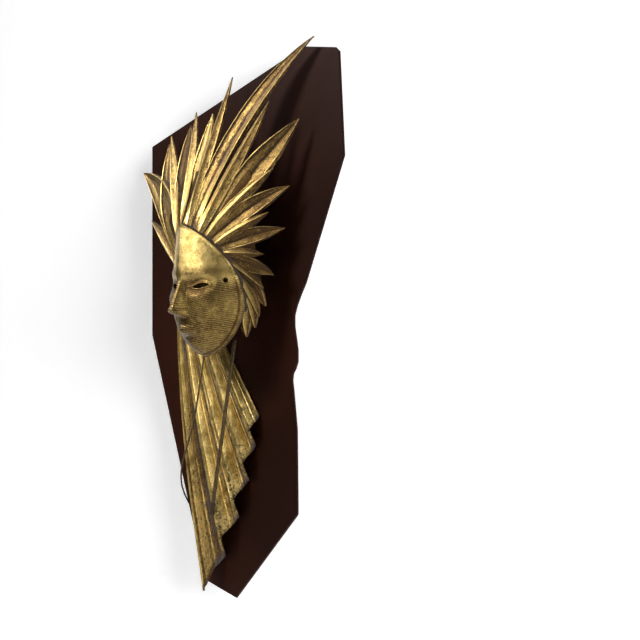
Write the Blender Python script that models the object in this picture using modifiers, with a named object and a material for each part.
"""Starburst wall mask: a cast mask with a burst of leaf rays and a pleated cape
on an irregular dark wall panel. Metres, +Z up. The wall is the plane Y = 0, the
mask looks along -Y, and the origin lies on the panel's flat back, behind the
middle of the mask at the height of its eyes."""

import math

import bmesh
import bpy
from mathutils import Vector

# Panel: an irregular board, its back edges bevelled so that it floats on the wall
PANEL_WIDTH = 0.506
PANEL_HEIGHT = 0.953
PANEL_THICKNESS = 0.012
PANEL_BACK_BEVEL = 0.008
PANEL_FRONT_ROUND = 0.001
# Corners of the outline, as shares of its width and height, from behind the mask's middle
PANEL_CORNERS = (
    (-0.4941, 0.2749), (0.3162, 0.4176), (0.4664, 0.4061), (0.4842, 0.3977), (0.5059, 0.2172),
    (0.3261, -0.0010), (0.3024, -0.0220), (0.2826, -0.0420), (0.2708, -0.0598), (0.2708, -0.0776),
    (0.2787, -0.0986), (0.2866, -0.1196), (0.2866, -0.1417), (0.2767, -0.1542), (0.2648, -0.1626),
    (0.2609, -0.1752), (0.2668, -0.1952), (0.2826, -0.2623), (0.2866, -0.4134), (-0.0217, -0.5824),
    (-0.1897, -0.5593), (-0.4941, -0.0965),
)

# Clearances between neighbouring pieces
FIT_GAP = 0.0003

# Mask: a cast shell. Its rim and features are shares of its own height
MASK_HEIGHT = 0.226
MASK_WALL = 0.0028
MASK_FLANGE = 0.002
MASK_STATIONS = 44
MASK_DOME_RINGS = (0.99, 0.955, 0.90, 0.82, 0.73, 0.63, 0.53, 0.43, 0.33, 0.23, 0.12)
# Half of the rim, a pointed arch over half an ellipse: side, height, stand-off
RIM_HALF = (
    (0.000, 0.440, 0.600), (0.107, 0.380, 0.546), (0.232, 0.260, 0.452), (0.304, 0.140, 0.376),
    (0.336, 0.050, 0.331), (0.351, -0.035, 0.299), (0.355, -0.120, 0.278),
    (0.347, -0.200, 0.270), (0.316, -0.310, 0.285), (0.269, -0.400, 0.307),
    (0.188, -0.490, 0.335), (0.000, -0.560, 0.360),
)
# Middle line of the bare face before its features: height, stand-off
FACE_LINE = (
    (-0.560, 0.52), (-0.530, 0.580), (-0.450, 0.600), (-0.340, 0.606), (-0.220, 0.606),
    (-0.100, 0.600), (0.000, 0.602), (0.080, 0.618), (0.200, 0.628), (0.320, 0.622),
    (0.440, 0.604),
)
# The nose's own rise and half width by height
NOSE_LINE = (
    (-0.268, 0.0), (-0.256, 0.018), (-0.240, 0.078), (-0.215, 0.110), (-0.180, 0.104),
    (-0.100, 0.066), (-0.020, 0.030), (0.040, 0.014), (0.090, 0.006), (0.140, 0.0),
)
NOSE_WIDTH = ((-0.268, 0.078), (-0.215, 0.074), (-0.130, 0.058), (-0.020, 0.050), (0.140, 0.090))
MOUTH_HALF_WIDTH = 0.108
BROW_LEVEL = 0.052
EYE_SIDE = 0.150
EYE_LEVEL = -0.024
EYE_HALF_LENGTH = 0.066
EYE_HALF_HEIGHT = 0.021
EYE_CORNERS = 16
EYE_TILT = 0.010
EYE_POINTED = 0.45
EYE_CUT_FROM = 0.35
EYE_CUT_TO = 0.80
TEMPLE_HOLE_SIDE = 0.300
TEMPLE_HOLE_LEVEL = 0.017
TEMPLE_HOLE_DIAMETER = 0.0090
TEMPLE_HOLE_WAY = (0.75, -0.66)

# Burst: rays that leave the mask's rim on one flared sheet
BURST_ROOT_DROP = 0.0040
BURST_TIP_RISE = 0.014
BURST_FLARE = 1.05
# Reach of the flared sheet beyond the rim: angle in degrees, length
BURST_REACH = (
    (-60, 0.055), (-40, 0.060), (-10, 0.075), (10, 0.090), (30, 0.125), (45, 0.190),
    (57, 0.280), (64, 0.385), (75, 0.340), (90, 0.290), (110, 0.255), (125, 0.245),
    (140, 0.265), (160, 0.200), (180, 0.160), (200, 0.130),
)
# Web between the rays: angle in degrees, reach beyond the rim
WEB_REACH = (
    (-32, 0.012), (-10, 0.018), (5, 0.024), (22, 0.028), (38, 0.048), (44, 0.056),
    (50, 0.082), (55, 0.095), (62, 0.130), (70, 0.135), (80, 0.105), (90, 0.095),
    (100, 0.105), (115, 0.120), (132, 0.105), (145, 0.080), (160, 0.050), (196, 0.026),
)
WEB_DROP = 0.0055
WEB_THICKNESS = 0.0035
COLLAR_START = -32
COLLAR_END = 196
COLLAR_INSET = 0.0065
COLLAR_OUTSET = 0.002
COLLAR_DEPTH = 0.010
COLLAR_SLANT = 0.0035
BOWL_FLOOR_RADIUS = 0.044
BOWL_WALL = 0.008
BOWL_FLOOR_RISE = 0.008
FOOT_RADIUS = 0.058
FOOT_HEIGHT = 0.014
RAY_THICKNESS = 0.006
RAY_TIP_THICKNESS = 0.0022
RAY_ROOT_INSET = 0.0015
RAY_ROOT_WIDTH = 0.46
RAY_WIDEST_AT = 0.46
RAY_TIP_HALF_WIDTH = 0.0009
RAY_TAPER = 0.85
RAY_TROUGH = 0.30
RAY_RIDGE = 0.42
RAY_STEP = 0.045
# Each ray in turn lies this much above the sheet, so that neighbours overlap in steps
RAY_LIFTS = (-0.0004, 0.0009, -0.0011, 0.0004)
# Rays: name, angle of the root on the rim, angle of the tip, length beyond the
# rim, width, sideways bow toward the top, broad trough (1) or narrow ridge (0)
RAYS = (
    ("left_low", 165, 150.7, 0.168, 0.030, 0.004, 0),
    ("left_hook", 150, 140.0, 0.252, 0.055, 0.022, 1),
    ("left_leaf", 139, 124.3, 0.233, 0.072, -0.010, 1),
    ("left_spike", 128, 122.4, 0.243, 0.034, -0.004, 0),
    ("top_leaf", 117, 109.8, 0.217, 0.068, -0.006, 1),
    ("top_spike", 107, 106.6, 0.234, 0.028, 0.004, 0),
    ("crown_leaf", 97, 94.8, 0.203, 0.050, 0.000, 1),
    ("crown_spike", 86, 88.7, 0.262, 0.023, 0.004, 0),
    ("great_leaf", 81, 63.7, 0.370, 0.037, 0.048, 1),
    ("great_spike", 73, 67.5, 0.243, 0.024, 0.004, 0),
    ("second_leaf", 70, 57.2, 0.242, 0.038, 0.004, 1),
    ("second_spike", 65, 54.3, 0.154, 0.018, 0.004, 0),
    ("third_leaf", 60, 45.5, 0.148, 0.028, 0.008, 1),
    ("third_spike", 54, 42.7, 0.095, 0.016, 0.002, 0),
    ("fourth_leaf", 49, 31.8, 0.096, 0.025, 0.004, 1),
    ("fourth_spike", 42, 22.5, 0.048, 0.016, 0.001, 0),
    ("cheek_leaf", 35, 5.6, 0.048, 0.024, 0.002, 1),
    ("cheek_spike", 28, -5.5, 0.029, 0.016, 0.001, 0),
    ("jaw_leaf", 20, -20.7, 0.028, 0.022, 0.002, 1),
    ("jaw_spike_a", 6, -31.3, 0.020, 0.016, 0.001, 0),
    ("jaw_spike_b", -8, -41.5, 0.018, 0.016, 0.001, 0),
    ("jaw_spike_c", -20, -51.4, 0.013, 0.016, 0.001, 0),
)

# Cape: a fan of pleats about a gather point, cut off on a slant at the hem
CAPE_GATHER = (-0.178, 0.090)
CAPE_FIRST_RIDGE = 10.8
CAPE_PITCH = 5.6
CAPE_PLEATS = 5
CAPE_FLANGE_ANGLE = 1.3
CAPE_WALL = 0.004
CAPE_DEPTH = 0.023
CAPE_DEPTH_AT = 0.450
CAPE_TOP_START = 0.030
CAPE_LONG = 0.625
CAPE_SHORT = 0.395
CAPE_HEM_SAG = 0.017
CAPE_BOW = 0.020
CAPE_TIP = 0.020
CAPE_FLANGE_DROP = 0.385
CAPE_CREASE = 0.7
CAPE_STATIONS = 8
CAPE_COLUMNS_PER_PLEAT = 6

# Tie ribbons: stiff cast strips from the mask's jaw down over the cape
RIBBON_WIDTH = 0.0085
RIBBON_THICKNESS = 0.003
# The way each ribbon's broad side lies: side, depth, height
RIBBON_NEAR_SIDE = (1.0, 0.0, 0.0)
RIBBON_FAR_SIDE = (0.766, -0.643, 0.0)
# Where the near ribbon starts, as shares of the mask's height: side, height, rise
RIBBON_NEAR_START = (0.199, -0.434, 0.230)
RIBBON_NEAR_END = (-0.038, -0.406)
RIBBON_NEAR_STEPS = 8
RIBBON_LIFT = 0.0012
# The far ribbon: its start in shares of the mask's height, then its way in metres
RIBBON_FAR_START = (-0.049, -0.545, 0.322)
RIBBON_FAR_WAY = (
    (-0.037, -0.189, 0.064), (-0.062, -0.240, 0.054), (-0.091, -0.287, 0.045),
    (-0.113, -0.321, 0.038), (-0.126, -0.344, 0.031), (-0.133, -0.364, 0.023),
    (-0.133, -0.383, 0.015), (-0.129, -0.396, 0.010),
)

COLLECTION_NAME = "starburst_wall_mask"


def clear_scene():
    """Removes every object of the open scene."""
    for thing in list(bpy.data.objects):
        bpy.data.objects.remove(thing, do_unlink=True)


def new_collection(name):
    """A collection linked to the scene."""
    made = bpy.data.collections.new(name)
    bpy.context.scene.collection.children.link(made)
    return made


def new_material(name, colour, roughness, metallic):
    """A Principled material with the part's colour, roughness and metallic value."""
    made = bpy.data.materials.new(name)
    made.use_nodes = True
    shader = made.node_tree.nodes["Principled BSDF"]
    shader.inputs["Base Color"].default_value = (*colour, 1.0)
    shader.inputs["Roughness"].default_value = roughness
    shader.inputs["Metallic"].default_value = metallic
    made.diffuse_color = (*colour, 1.0)
    return made


def object_from(name, vertices, faces, collection, material):
    """A mesh object whose faces all point outward."""
    mesh = bpy.data.meshes.new(name)
    mesh.from_pydata(vertices, [], faces)
    shaped = bmesh.new()
    shaped.from_mesh(mesh)
    bmesh.ops.recalc_face_normals(shaped, faces=shaped.faces)
    bmesh.ops.triangulate(shaped, faces=shaped.faces)
    shaped.to_mesh(mesh)
    shaped.free()
    made = bpy.data.objects.new(name, mesh)
    if material:
        mesh.materials.append(material)
    collection.objects.link(made)
    return made


def helper_object(name, vertices, faces, collection):
    """A solid that a Boolean joins or cuts, kept out of the finished part."""
    made = object_from(name, vertices, faces, collection, None)
    made.hide_render = True
    made.display_type = "WIRE"
    return made


def add_boolean(target, tool, operation):
    """Joins or cuts the target with another solid."""
    modifier = target.modifiers.new(operation.lower() + "_" + tool.name, "BOOLEAN")
    modifier.operation = operation
    modifier.solver = "EXACT"
    modifier.object = tool
    return modifier


def loft(sections):
    """Vertices and faces of a closed solid through rings of equal size."""
    size = len(sections[0])
    vertices = [point for ring in sections for point in ring]
    faces = []
    for row in range(len(sections) - 1):
        for k in range(size):
            a = row * size + k
            b = row * size + (k + 1) % size
            faces.append((a, b, b + size, a + size))
    faces.append(tuple(range(size - 1, -1, -1)))
    faces.append(tuple(range((len(sections) - 1) * size, len(sections) * size)))
    return vertices, faces


def at(side, height, rise):
    """A point in world space from its side, its height and its rise off the panel."""
    return Vector((side, -(PANEL_THICKNESS + rise), height))


def between(table, key):
    """Linear value of a two-column table at this key."""
    if key <= table[0][0]:
        return table[0][1]
    for (k0, v0), (k1, v1) in zip(table, table[1:]):
        if key <= k1:
            return v0 + (v1 - v0) * (key - k0) / (k1 - k0)
    return table[-1][1]


def smooth_between(table, key):
    """Smooth value of a two-column table at this key, through every entry."""
    keys = [row[0] for row in table]
    last = len(table) - 1
    key = min(max(key, keys[0]), keys[-1])
    i = 0
    while i < last - 1 and key > keys[i + 1]:
        i += 1
    span = keys[i + 1] - keys[i]
    t = (key - keys[i]) / span

    def slope(j):
        low = max(j - 1, 0)
        high = min(j + 1, last)
        return (table[high][1] - table[low][1]) / (keys[high] - keys[low])

    v0 = table[i][1]
    v1 = table[i + 1][1]
    m0 = slope(i) * span
    m1 = slope(i + 1) * span
    return (
        v0 * (2 * t**3 - 3 * t**2 + 1)
        + m0 * (t**3 - 2 * t**2 + t)
        + v1 * (3 * t**2 - 2 * t**3)
        + m1 * (t**3 - t**2)
    )


def rim_tables():
    """Rim radius and rise by angle, from 90 degrees at the peak to -90 at the chin."""
    radius = []
    rise = []
    for side, height, stand in reversed(RIM_HALF):
        angle = math.degrees(math.atan2(height, side))
        radius.append((angle, math.hypot(side, height) * MASK_HEIGHT))
        rise.append((angle, stand * MASK_HEIGHT))
    return radius, rise


RIM_RADIUS, RIM_RISE = rim_tables()


def fold(angle):
    """The same angle on the right half of the mask."""
    angle = (angle + 180.0) % 360.0 - 180.0
    if angle > 90.0:
        return 180.0 - angle
    if angle < -90.0:
        return -180.0 - angle
    return angle


def rim_radius(angle):
    """Distance of the rim from the mask's middle at this angle."""
    return smooth_between(RIM_RADIUS, fold(angle))


def rim_rise(angle):
    """Rise of the rim's front edge off the panel at this angle."""
    return smooth_between(RIM_RISE, fold(angle))


def rim_back(angle):
    """Rise of the rim's back edge off the panel at this angle."""
    return rim_rise(angle) - MASK_FLANGE


def hill(value, middle, spread):
    """A soft hump of height one that reaches zero at its spread."""
    away = abs(value - middle) / spread
    if away >= 1.0:
        return 0.0
    return 0.5 + 0.5 * math.cos(math.pi * away)


def ramp(value, low, high):
    """Zero below the low value, one above the high one, smooth between."""
    t = min(max((value - low) / (high - low), 0.0), 1.0)
    return t * t * (3.0 - 2.0 * t)


def nose_rise(out, height):
    """Rise of the nose: a straight bridge, a round tip and two wings."""
    ridge = smooth_between(NOSE_LINE, height)
    width = smooth_between(NOSE_WIDTH, height)
    flat = 0.25 * width
    roof = 1.0 - ramp(out, flat, width)
    tip = 0.018 * hill(height, -0.214, 0.040) * hill(out, 0.0, 0.045)
    wings = 0.046 * hill(height, -0.222, 0.036) * hill(out, 0.050, 0.034)
    return ridge * roof + tip + wings


def mouth_rise(out, height):
    """Rise of the closed mouth: two calm lips on a gently swelling muzzle."""
    share = min(out / MOUTH_HALF_WIDTH, 1.0)
    top = -0.316 - 0.026 * share**2 - 0.006 * hill(out, 0.0, 0.020)
    line = -0.352 - 0.004 * share**2 - 0.003 * hill(out, 0.0, 0.030)
    foot = -0.396 + 0.040 * share**2
    rise = 0.026 * hill(out, 0.0, 0.190) * hill(height, -0.345, 0.120)
    full = (1.0 - share**2) ** 0.6
    if height > line:
        upper = max(top - line, 0.004)
        rise += 0.020 * full * hill(height, line + 0.42 * upper, 0.75 * upper)
    else:
        lower = max(line - foot, 0.004)
        rise += 0.023 * full * hill(height, line - 0.42 * lower, 0.75 * lower)
    rise -= 0.008 * hill(out, MOUTH_HALF_WIDTH, 0.030) * hill(height, -0.357, 0.026)
    rise -= 0.005 * hill(out, 0.0, 0.015) * hill(height, -0.288, 0.036)
    rise -= 0.014 * hill(out, 0.0, 0.110) * hill(height, -0.412, 0.030)
    return rise


def eye_rise(out, height):
    """Rise about the eye: a shallow socket, the lids' swell and the brow above."""
    socket = -0.050 * hill(out, EYE_SIDE - 0.012, 0.150) * hill(height, EYE_LEVEL + 0.008, 0.098)
    lids = 0.030 * hill(out, EYE_SIDE, 0.105) * hill(height, EYE_LEVEL, 0.056)
    arch = BROW_LEVEL + 0.16 * out - 0.42 * out**2
    brow = 0.020 * hill(height, arch, 0.052) * ramp(out, 0.0, 0.040) * (1 - ramp(out, 0.22, 0.34))
    return socket + lids + brow


def face_rise(side, height):
    """Rise of the face above its bare form, as shares of the mask's height."""
    out = abs(side)
    rise = nose_rise(out, height) + mouth_rise(out, height) + eye_rise(out, height)
    rise += 0.022 * hill(out, 0.215, 0.170) * hill(height, -0.135, 0.130)
    rise += 0.034 * hill(out, 0.0, 0.140) * hill(height, -0.478, 0.090)
    fold_line = 0.080 + 0.42 * (-0.235 - height)
    rise -= 0.006 * hill(out, fold_line, 0.026) * hill(height, -0.285, 0.065)
    return rise


def dome_rise(angle, share):
    """Rise of the mask's outer surface at a share of the rim's radius."""
    radius = rim_radius(angle) / MASK_HEIGHT
    side = radius * share * math.cos(math.radians(angle))
    height = radius * share * math.sin(math.radians(angle))
    middle = smooth_between(FACE_LINE, height)
    edge = rim_rise(angle) / MASK_HEIGHT
    tent = ramp(height, -0.04, 0.15)
    swell = (1.0 - share ** (2.2 - 0.8 * tent)) ** (0.72 + 0.18 * tent)
    fade = min(1.0, (1.0 - share) / 0.15)
    rise = edge + (middle - edge) * swell + face_rise(side, height) * fade
    return rise * MASK_HEIGHT


def mask_point(angle, share, rise):
    """A point of the mask at an angle, a share of the rim's radius and a rise."""
    radius = rim_radius(angle) * share
    return at(
        radius * math.cos(math.radians(angle)), radius * math.sin(math.radians(angle)), rise
    )


def build_mask(parts, cutters, material):
    """The mask: an open lofted face with a return flange, thickened to a shell."""
    angles = [90.0 + 360.0 * k / MASK_STATIONS for k in range(MASK_STATIONS)]
    rings = [[mask_point(a, 1.0, rim_back(a)) for a in angles]]
    rings.append([mask_point(a, 1.0, rim_rise(a)) for a in angles])
    for share in MASK_DOME_RINGS:
        rings.append([mask_point(a, share, dome_rise(a, share)) for a in angles])
    vertices = [point for ring in rings for point in ring]
    vertices.append(mask_point(90.0, 0.0, dome_rise(90.0, 0.0)))
    faces = []
    for row in range(len(rings) - 1):
        for k in range(MASK_STATIONS):
            a = row * MASK_STATIONS + k
            b = row * MASK_STATIONS + (k + 1) % MASK_STATIONS
            faces.append((a, b, b + MASK_STATIONS, a + MASK_STATIONS))
    last = (len(rings) - 1) * MASK_STATIONS
    for k in range(MASK_STATIONS):
        faces.append((last + k, last + (k + 1) % MASK_STATIONS, len(vertices) - 1))
    mask = object_from("mask", vertices, faces, parts, material)
    if mask.data.polygons[0].normal.x * vertices[0].x < 0.0:
        mask.data.flip_normals()
    shell = mask.modifiers.new("shell", "SOLIDIFY")
    shell.thickness = MASK_WALL
    shell.offset = -1.0
    shell.use_even_offset = False
    for sign, word in ((1, "right"), (-1, "left")):
        add_boolean(mask, eye_cutter(sign, word, cutters), "DIFFERENCE")
        add_boolean(mask, temple_cutter(sign, word, cutters), "DIFFERENCE")
    return mask


def eye_cutter(sign, word, cutters):
    """An almond prism through the mask, its outer corner a little higher."""
    outline = []
    for k in range(EYE_CORNERS):
        turn = 2.0 * math.pi * k / EYE_CORNERS
        along = math.cos(turn)
        lift = math.sin(turn) * (1.0 - EYE_POINTED * along**2)
        side = EYE_SIDE + EYE_HALF_LENGTH * along
        height = EYE_LEVEL + EYE_HALF_HEIGHT * lift + EYE_TILT * along
        outline.append((sign * side * MASK_HEIGHT, height * MASK_HEIGHT))
    near = [at(x, z, EYE_CUT_FROM * MASK_HEIGHT) for x, z in outline]
    far = [at(x, z, EYE_CUT_TO * MASK_HEIGHT) for x, z in outline]
    vertices, faces = loft([near, far])
    return helper_object("eye_cutter_" + word, vertices, faces, cutters)


def temple_cutter(sign, word, cutters):
    """A round pin through the temple, square to the surface there."""
    side = TEMPLE_HOLE_SIDE * MASK_HEIGHT
    height = TEMPLE_HOLE_LEVEL * MASK_HEIGHT
    angle = math.degrees(math.atan2(height, side))
    share = math.hypot(side, height) / rim_radius(angle)
    middle = at(sign * side, height, dome_rise(angle, share))
    axis = Vector((sign * TEMPLE_HOLE_WAY[0], TEMPLE_HOLE_WAY[1], 0.0))
    bpy.ops.mesh.primitive_cylinder_add(
        vertices=14, radius=TEMPLE_HOLE_DIAMETER / 2, depth=8 * MASK_WALL, location=middle
    )
    made = bpy.context.object
    made.name = "temple_cutter_" + word
    made.rotation_euler = axis.to_track_quat("Z", "Y").to_euler()
    for home in list(made.users_collection):
        home.objects.unlink(made)
    cutters.objects.link(made)
    made.hide_render = True
    made.display_type = "WIRE"
    return made


def sheet_rise(side, height):
    """Rise of the flared sheet that the rays follow, at a place on the panel."""
    angle = math.degrees(math.atan2(height, side))
    if angle < -120.0:
        angle += 360.0
    beyond = max(0.0, math.hypot(side, height) - rim_radius(angle))
    root = rim_back(angle) - BURST_ROOT_DROP
    fall = max(0.0, 1.0 - beyond / between(BURST_REACH, angle)) ** BURST_FLARE
    return BURST_TIP_RISE + (root - BURST_TIP_RISE) * fall


def ray_shape(share):
    """Width of a ray along its length, as a share of its full width."""
    if share < RAY_WIDEST_AT:
        grown = math.sin(0.5 * math.pi * share / RAY_WIDEST_AT)
        return RAY_ROOT_WIDTH + (1.0 - RAY_ROOT_WIDTH) * grown
    fall = (share - RAY_WIDEST_AT) / (1.0 - RAY_WIDEST_AT)
    return max(0.0, math.cos(0.5 * math.pi * fall)) ** RAY_TAPER


def on_circle(angle, radius):
    """A flat point at this angle and distance from the mask's middle."""
    return Vector((math.cos(math.radians(angle)), math.sin(math.radians(angle)))) * radius


def ray_section(half, thick, relief, broad):
    """Corner places of a ray's section: share of its half width, lift off the sheet."""
    if broad:
        deep = -RAY_TROUGH * relief * half
        shoulder = 0.4 * deep
        return (
            (1.0, 0.0), (0.45, shoulder), (0.0, deep), (-0.45, shoulder),
            (-1.0, 0.0), (-0.8, -thick), (0.0, deep - thick), (0.8, -thick),
        )
    side = -0.43 * RAY_RIDGE * half
    return ((1.0, side), (0.0, RAY_RIDGE * relief * half), (-1.0, side), (0.0, -thick))


def ray_solid(ray, own_lift):
    """Vertices and faces of one ray, lofted along its bowed middle line."""
    root_angle, tip_angle, length, width, bow, broad = ray[1:]
    root = on_circle(root_angle, rim_radius(root_angle) - RAY_ROOT_INSET)
    tip = on_circle(tip_angle, rim_radius(tip_angle) + length)
    chord = tip - root
    normal = Vector((-chord.y, chord.x)).normalized()
    if normal.y < 0.0:
        normal = -normal
    middle = (root + tip) * 0.5 + normal * bow * 2.0
    steps = 5 + round(length / RAY_STEP)
    sections = []
    for i in range(steps + 1):
        t = i / steps
        place = root * (1 - t) ** 2 + middle * 2 * t * (1 - t) + tip * t**2
        along = ((middle - root) * (1 - t) + (tip - middle) * t).normalized()
        across = Vector((-along.y, along.x))
        half = max(RAY_TIP_HALF_WIDTH, 0.5 * width * ray_shape(t))
        thick = RAY_TIP_THICKNESS + (RAY_THICKNESS - RAY_TIP_THICKNESS) * (1 - t) ** 0.7
        relief = ramp(t, -0.10, 0.25)
        ring = []
        for sideways, lift in ray_section(half, thick, relief, broad):
            spot = place + across * (half * sideways)
            ring.append(at(spot.x, spot.y, sheet_rise(spot.x, spot.y) + lift + own_lift))
        sections.append(ring)
    return loft(sections)


def collar_solid():
    """The sector under the mask's rim: its web outside, its bowl wall inside."""
    step = 360.0 / MASK_STATIONS
    first = round((COLLAR_START - 90.0) / step)
    last = round((COLLAR_END - 90.0) / step)
    sections = []
    for k in range(first, last + 1):
        angle = 90.0 + k * step
        radius = rim_radius(angle)
        top = rim_back(angle) - FIT_GAP
        web = between(WEB_REACH, angle)

        def spot(distance, rise):
            return at(
                distance * math.cos(math.radians(angle)),
                distance * math.sin(math.radians(angle)),
                rise,
            )

        def under(distance):
            place = spot(distance, 0.0)
            return sheet_rise(place.x, place.z) - WEB_DROP

        outer = radius + web
        half_way = radius + 0.5 * web
        floor = BOWL_FLOOR_RISE
        sections.append(
            [
                spot(radius - COLLAR_INSET, top - COLLAR_SLANT),
                spot(radius + COLLAR_OUTSET, top),
                spot(half_way, under(half_way)),
                spot(outer, under(outer)),
                spot(outer, under(outer) - WEB_THICKNESS),
                spot(half_way, under(half_way) - WEB_THICKNESS),
                spot(radius + COLLAR_OUTSET, top - COLLAR_DEPTH),
                spot(BOWL_FLOOR_RADIUS + BOWL_WALL, floor),
                spot(BOWL_FLOOR_RADIUS, floor),
            ]
        )
    return loft(sections)


def build_burst(parts, cutters, material):
    """The burst: collar, foot and rays joined into one casting."""
    vertices, faces = collar_solid()
    burst = object_from("burst", vertices, faces, parts, material)
    bpy.ops.mesh.primitive_cylinder_add(
        vertices=40,
        radius=FOOT_RADIUS,
        depth=FOOT_HEIGHT,
        location=at(0.0, 0.0, FIT_GAP + FOOT_HEIGHT / 2),
        rotation=(math.radians(90.0), 0.0, 0.0),
    )
    foot = bpy.context.object
    foot.name = "foot_tool"
    for home in list(foot.users_collection):
        home.objects.unlink(foot)
    cutters.objects.link(foot)
    foot.hide_render = True
    foot.display_type = "WIRE"
    add_boolean(burst, foot, "UNION")
    for order, ray in enumerate(RAYS):
        vertices, faces = ray_solid(ray, RAY_LIFTS[order % len(RAY_LIFTS)])
        add_boolean(burst, helper_object("ray_" + ray[0], vertices, faces, cutters), "UNION")
    return burst


def cape_angle(across):
    """Angle off the downward line, across being 0 at the first ridge."""
    return CAPE_FIRST_RIDGE + CAPE_PITCH * across


def cape_length(across):
    """Distance of the hem from the gather point."""
    share = min(max(across / (CAPE_PLEATS - 0.5), 0.0), 1.0)
    straight = CAPE_LONG + (CAPE_SHORT - CAPE_LONG) * share
    point = CAPE_TIP * (1.0 - min(share * CAPE_PLEATS * 3, 1.0))
    return straight - 4 * CAPE_HEM_SAG * share * (1 - share) + point


def cape_point(across, along):
    """A point of the cape's front: across in pleats, along from 0 at the top to 1."""
    length = cape_length(across)
    distance = CAPE_TOP_START + (length - CAPE_TOP_START) * along
    angle = math.radians(cape_angle(across))
    share = min(max(across / (CAPE_PLEATS - 0.5), 0.0), 1.0)
    bow = CAPE_BOW * (1 - share) ** 1.5 * math.sin(math.pi * along)
    side = CAPE_GATHER[0] + distance * math.sin(angle) - bow * math.cos(angle)
    height = CAPE_GATHER[1] - distance * math.cos(angle) - bow * math.sin(angle)
    straight_wave = abs(1.0 - 2.0 * (across % 1.0))
    round_wave = 0.5 + 0.5 * math.cos(2 * math.pi * across)
    wave = CAPE_CREASE * straight_wave + (1.0 - CAPE_CREASE) * round_wave
    depth = CAPE_DEPTH * distance / CAPE_DEPTH_AT
    if across < 0.0:
        wave = 1.0 + CAPE_FLANGE_DROP * across * CAPE_PITCH / CAPE_FLANGE_ANGLE
    return at(side, height, FIT_GAP + CAPE_WALL + depth * wave)


def build_cape(parts, material):
    """The cape: an open pleated sheet with its thickness."""
    columns = [-CAPE_FLANGE_ANGLE / CAPE_PITCH]
    count = round((CAPE_PLEATS - 0.5) * CAPE_COLUMNS_PER_PLEAT)
    columns += [k / CAPE_COLUMNS_PER_PLEAT for k in range(count + 1)]
    vertices = []
    for across in columns:
        for row in range(CAPE_STATIONS + 1):
            vertices.append(cape_point(across, row / CAPE_STATIONS))
    faces = []
    rows = CAPE_STATIONS + 1
    for column in range(len(columns) - 1):
        for row in range(CAPE_STATIONS):
            a = column * rows + row
            faces.append((a, a + 1, a + rows + 1, a + rows))
    cape = object_from("cape", vertices, faces, parts, material)
    if cape.data.polygons[0].normal.y > 0.0:
        cape.data.flip_normals()
    sheet = cape.modifiers.new("sheet", "SOLIDIFY")
    sheet.thickness = CAPE_WALL
    sheet.offset = -1.0
    sheet.use_even_offset = False
    return cape


def build_ribbon(name, path, width_way, parts, material):
    """A flat strip lofted along its path, its width lying along one direction."""
    sections = []
    for i, place in enumerate(path):
        before = path[max(i - 1, 0)]
        after = path[min(i + 1, len(path) - 1)]
        along = (after - before).normalized()
        wide = (width_way - along * width_way.dot(along)).normalized()
        thin = along.cross(wide)
        a = wide * RIBBON_WIDTH / 2
        b = thin * RIBBON_THICKNESS / 2
        sections.append([place + a + b, place - a + b, place - a - b, place + a - b])
    vertices, faces = loft(sections)
    return object_from(name, vertices, faces, parts, material)


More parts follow.
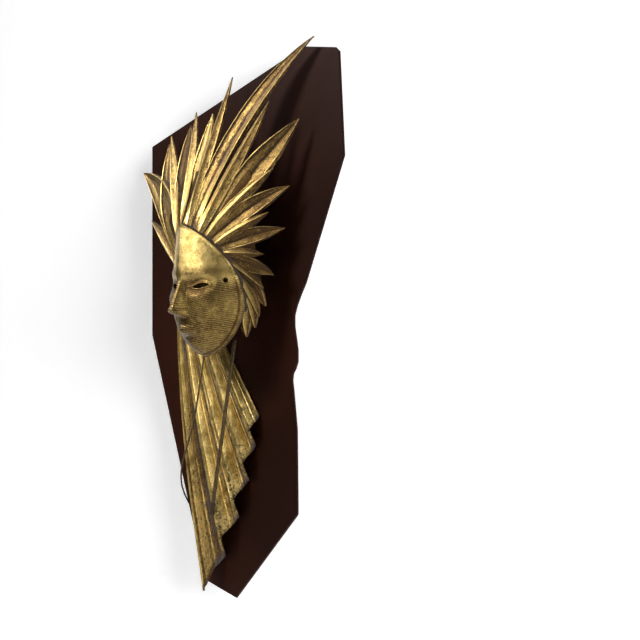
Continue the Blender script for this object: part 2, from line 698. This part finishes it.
def build_panel(parts, material):
    """The panel: an extruded outline, its back edges bevelled and its front eased."""
    mesh = bpy.data.meshes.new("panel")
    shaped = bmesh.new()
    outline = [shaped.verts.new((PANEL_WIDTH * x, 0.0, PANEL_HEIGHT * z)) for x, z in PANEL_CORNERS]
    back = shaped.faces.new(outline)
    grown = bmesh.ops.extrude_face_region(shaped, geom=[back])
    moved = [thing for thing in grown["geom"] if isinstance(thing, bmesh.types.BMVert)]
    bmesh.ops.translate(shaped, verts=moved, vec=(0.0, -PANEL_THICKNESS, 0.0))
    bmesh.ops.recalc_face_normals(shaped, faces=shaped.faces)
    middle = -0.5 * PANEL_THICKNESS
    back_edges = [edge for edge in shaped.edges if min(v.co.y for v in edge.verts) > middle]
    bmesh.ops.bevel(
        shaped, geom=back_edges, offset=PANEL_BACK_BEVEL, segments=1, affect="EDGES",
        offset_type="OFFSET", profile=0.5,
    )
    front = FIT_GAP - PANEL_THICKNESS
    front_edges = [edge for edge in shaped.edges if max(v.co.y for v in edge.verts) < front]
    bmesh.ops.bevel(
        shaped, geom=front_edges, offset=PANEL_FRONT_ROUND, segments=1, affect="EDGES",
        offset_type="OFFSET", profile=0.5,
    )
    shaped.to_mesh(mesh)
    shaped.free()
    mesh.materials.append(material)
    made = bpy.data.objects.new("panel", mesh)
    parts.objects.link(made)
    return made


def cape_ridge_rise(side, height):
    """Rise of the cape's ridges at a place on the panel."""
    distance = math.hypot(side - CAPE_GATHER[0], height - CAPE_GATHER[1])
    return FIT_GAP + CAPE_WALL + CAPE_DEPTH * distance / CAPE_DEPTH_AT


def ribbon_paths():
    """Middle lines of the two ribbons, the near one first."""
    start = Vector(RIBBON_NEAR_START) * MASK_HEIGHT
    end_rise = cape_ridge_rise(*RIBBON_NEAR_END) + FIT_GAP + RIBBON_THICKNESS / 2 + RIBBON_LIFT
    end = Vector((*RIBBON_NEAR_END, end_rise))
    near = [at(*start.lerp(end, i / RIBBON_NEAR_STEPS)) for i in range(RIBBON_NEAR_STEPS + 1)]
    far = [at(*(Vector(RIBBON_FAR_START) * MASK_HEIGHT))]
    far += [at(*place) for place in RIBBON_FAR_WAY]
    return near, far


def main():
    clear_scene()
    parts = new_collection(COLLECTION_NAME)
    cutters = new_collection("cutters")
    lacquer = new_material("panel_lacquer", (0.028, 0.010, 0.007), 0.28, 0.0)
    gilt = new_material("gilt_bronze", (0.62, 0.44, 0.17), 0.30, 1.0)
    bronze = new_material("dark_bronze", (0.30, 0.20, 0.08), 0.42, 1.0)
    build_panel(parts, lacquer)
    build_burst(parts, cutters, gilt)
    build_mask(parts, cutters, gilt)
    build_cape(parts, gilt)
    near, far = ribbon_paths()
    build_ribbon("ribbon_near", near, Vector(RIBBON_NEAR_SIDE), parts, bronze)
    build_ribbon("ribbon_far", far, Vector(RIBBON_FAR_SIDE), parts, bronze)


main()
